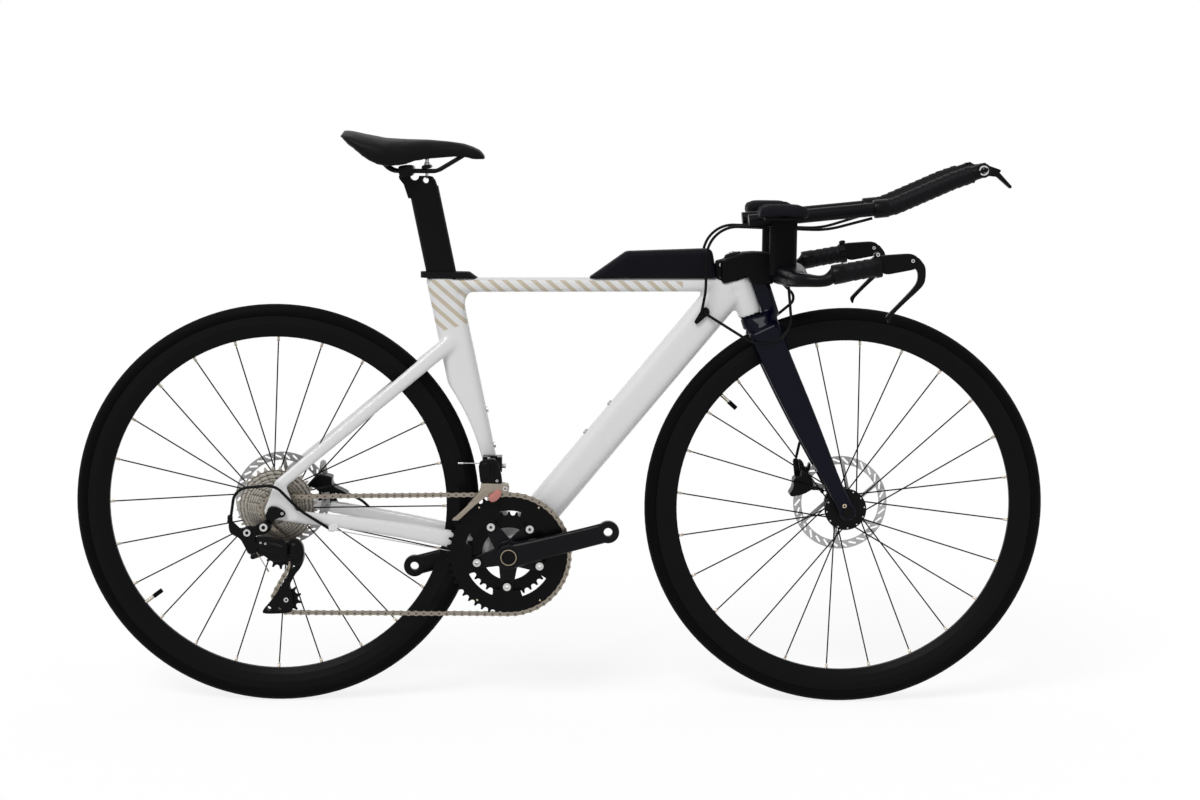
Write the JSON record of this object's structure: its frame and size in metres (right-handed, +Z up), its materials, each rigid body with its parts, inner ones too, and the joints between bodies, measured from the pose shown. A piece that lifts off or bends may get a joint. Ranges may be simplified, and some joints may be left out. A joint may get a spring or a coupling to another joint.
{
  "type": "time trial bike",
  "caption": "Aero time trial bicycle with deep tubes, flat base bar, forearm pads and extensions, chain drive with derailleurs, disc brakes and turning bars, wheels and cranks.",
  "frame": {"origin": "on the ground midway between the two wheel axles, in the middle plane", "axes": "+X forward, +Y to the rider's left, +Z up; the drive side is at -Y"},
  "size_m": [1.6219, 0.43, 0.9576],
  "materials": {
    "frame_paint": "gloss",
    "fork_paint": "gloss",
    "black_matte": "matte",
    "black_gloss": "gloss",
    "black_alloy": "anodised satin",
    "silver": "brushed",
    "nickel": "plated",
    "tyre": "matte",
    "rubber": "matte",
    "pad": "matte",
    "saddle": "matte"
  },
  "bodies": {
    "frame": {"frame": "frame_paint", "bottle_bolts": "silver", "frame_bearings": "black_alloy", "seat_cover": "rubber", "storage_box": "black_matte", "derailleur_hanger": "black_alloy", "rear_axle": "black_alloy", "rear_caliper": "black_alloy", "front_mech_body": "black_alloy", "mech_knuckle": "black_alloy", "chain": "nickel", "rear_cables": "rubber", "control_cables": "rubber", "cable_ports": "rubber"},
    "seatpost": {"seatpost": "black_matte", "saddle_rails": "silver", "saddle_clamp": "black_alloy", "saddle": "saddle"},
    "steering": {"fork": "fork_paint", "stem": "black_matte", "base_bar": "black_matte", "extensions": "black_alloy", "bar_tape": "rubber", "risers": "black_alloy", "arm_pads": "pad", "lever_bodies": "black_alloy", "shifter_bodies": "black_alloy", "front_axle": "black_alloy", "front_caliper": "black_alloy", "front_brake_cable": "rubber"},
    "front_wheel": {"front_tyre": "tyre", "front_rim": "black_matte", "front_spokes": "black_alloy", "front_hub": "black_alloy", "front_rotor": "silver"},
    "rear_wheel": {"rear_tyre": "tyre", "rear_rim": "black_matte", "rear_spokes": "black_alloy", "rear_hub": "black_alloy", "rear_rotor": "silver"},
    "cassette": {"cassette": "nickel"},
    "crank": {"crank_right": "black_alloy", "crank_left": "black_alloy", "crank_spindle": "silver", "chainring_outer": "black_alloy", "chainring_inner": "black_alloy", "chainring_bolts": "silver"},
    "mech_outer_link": {"mech_outer_link": "black_alloy"},
    "mech_inner_link": {"mech_inner_link": "black_alloy"},
    "mech_cage_knuckle": {"mech_cage_knuckle": "black_alloy"},
    "mech_cage": {"mech_cage": "black_alloy"},
    "guide_pulley": {"guide_pulley": "black_gloss"},
    "tension_pulley": {"tension_pulley": "black_gloss"},
    "front_mech_cage": {"front_mech_cage": "silver"},
    "rear_caliper_arm": {"rear_caliper_arm": "black_alloy"},
    "front_caliper_arm": {"front_caliper_arm": "black_alloy"},
    "brake_lever_right": {"brake_lever_right": "black_alloy"},
    "brake_lever_left": {"brake_lever_left": "black_alloy"},
    "shift_lever_right": {"shift_lever_right": "rubber"},
    "shift_lever_left": {"shift_lever_left": "rubber"}
  },
  "joints": [
    {"name": "steering_turn", "type": "hinge", "parent": "frame", "child": "steering", "pos_m": [0.42569, 0, 0.3195], "axis": [-0.3173, 0, 0.9483], "range_deg": [-40, 40], "deforming": ["control_cables"]},
    {"name": "seatpost_slide", "type": "slide", "parent": "frame", "child": "seatpost", "axis": [-0.2045, 0, 0.9789], "range_m": [0, 0.05]},
    {"name": "front_wheel_spin", "type": "hinge", "parent": "steering", "child": "front_wheel", "pos_m": [0.475, 0, 0.336], "axis": [0, 1, 0], "continuous": true},
    {"name": "rear_wheel_spin", "type": "hinge", "parent": "frame", "child": "rear_wheel", "pos_m": [-0.475, 0, 0.336], "axis": [0, 1, 0], "continuous": true},
    {"name": "crank_spin", "type": "hinge", "parent": "frame", "child": "crank", "pos_m": [-0.088, 0, 0.26], "axis": [0, 1, 0], "continuous": true, "deforming": ["chain"]},
    {"name": "cassette_spin", "type": "hinge", "parent": "frame", "child": "cassette", "pos_m": [-0.475, 0, 0.336], "axis": [0, 1, 0], "continuous": true},
    {"name": "mech_swing", "type": "hinge", "parent": "frame", "child": "mech_outer_link", "pos_m": [-0.51, -0.07354, 0.26771], "axis": [0, 0.766, 0.6428], "range_deg": [0, 56], "stiffness_Nm_per_rad": 2},
    {"name": "mech_inner_swing", "type": "hinge", "parent": "frame", "child": "mech_inner_link", "pos_m": [-0.51, -0.06646, 0.25929], "axis": [0, 0.766, 0.6428], "range_deg": [0, 56]},
    {"name": "mech_cage_level", "type": "hinge", "parent": "mech_outer_link", "child": "mech_cage_knuckle", "pos_m": [-0.45879, -0.09104, 0.28857], "axis": [0, 0.766, 0.6428], "range_deg": [-56, 0]},
    {"name": "mech_cage_swing", "type": "hinge", "parent": "mech_cage_knuckle", "child": "mech_cage", "pos_m": [-0.437, -0.0625, 0.276], "axis": [0, 1, 0], "range_deg": [-20, 25], "stiffness_Nm_per_rad": 2},
    {"name": "guide_pulley_spin", "type": "hinge", "parent": "mech_cage", "child": "guide_pulley", "pos_m": [-0.465, -0.0625, 0.262], "axis": [0, 1, 0], "continuous": true},
    {"name": "tension_pulley_spin", "type": "hinge", "parent": "mech_cage", "child": "tension_pulley", "pos_m": [-0.45555, -0.0625, 0.18659], "axis": [0, 1, 0], "continuous": true},
    {"name": "front_mech_swing", "type": "hinge", "parent": "frame", "child": "front_mech_cage", "pos_m": [-0.11589, -0.0375, 0.41082], "axis": [1, 0, 0], "range_deg": [0, 16], "stiffness_Nm_per_rad": 1},
    {"name": "rear_caliper_pull", "type": "hinge", "parent": "frame", "child": "rear_caliper_arm", "pos_m": [-0.408, 0.075, 0.364], "axis": [0, 1, 0], "range_deg": [0, 20], "stiffness_Nm_per_rad": 1},
    {"name": "front_caliper_pull", "type": "hinge", "parent": "steering", "child": "front_caliper_arm", "pos_m": [0.408, 0.058, 0.374], "axis": [0, -1, 0], "range_deg": [0, 20], "stiffness_Nm_per_rad": 1},
    {"name": "brake_right_pull", "type": "hinge", "parent": "steering", "child": "brake_lever_right", "pos_m": [0.54647, -0.2, 0.76264], "axis": [0, 1, 0], "range_deg": [0, 18], "stiffness_Nm_per_rad": 2},
    {"name": "brake_left_pull", "type": "hinge", "parent": "steering", "child": "brake_lever_left", "pos_m": [0.54647, 0.2, 0.76264], "axis": [0, 1, 0], "range_deg": [0, 18], "stiffness_Nm_per_rad": 2},
    {"name": "shift_right_turn", "type": "hinge", "parent": "steering", "child": "shift_lever_right", "pos_m": [0.68243, -0.06, 0.90256], "axis": [0, 1, 0], "range_deg": [-35, 45]},
    {"name": "shift_left_turn", "type": "hinge", "parent": "steering", "child": "shift_lever_left", "pos_m": [0.68243, 0.06, 0.90256], "axis": [0, 1, 0], "range_deg": [-7, 73]}
  ],
  "couplings": [
    {"joint": "cassette_spin", "follows": "crank_spin", "ratio": 4.5455},
    {"joint": "guide_pulley_spin", "follows": "crank_spin", "ratio": -4.5455},
    {"joint": "tension_pulley_spin", "follows": "crank_spin", "ratio": 4.5455},
    {"joint": "mech_inner_swing", "follows": "mech_swing", "ratio": 1},
    {"joint": "mech_cage_level", "follows": "mech_swing", "ratio": -1},
    {"joint": "rear_caliper_pull", "follows": "brake_right_pull", "ratio": 1.1111},
    {"joint": "front_caliper_pull", "follows": "brake_left_pull", "ratio": 1.1111}
  ]
}
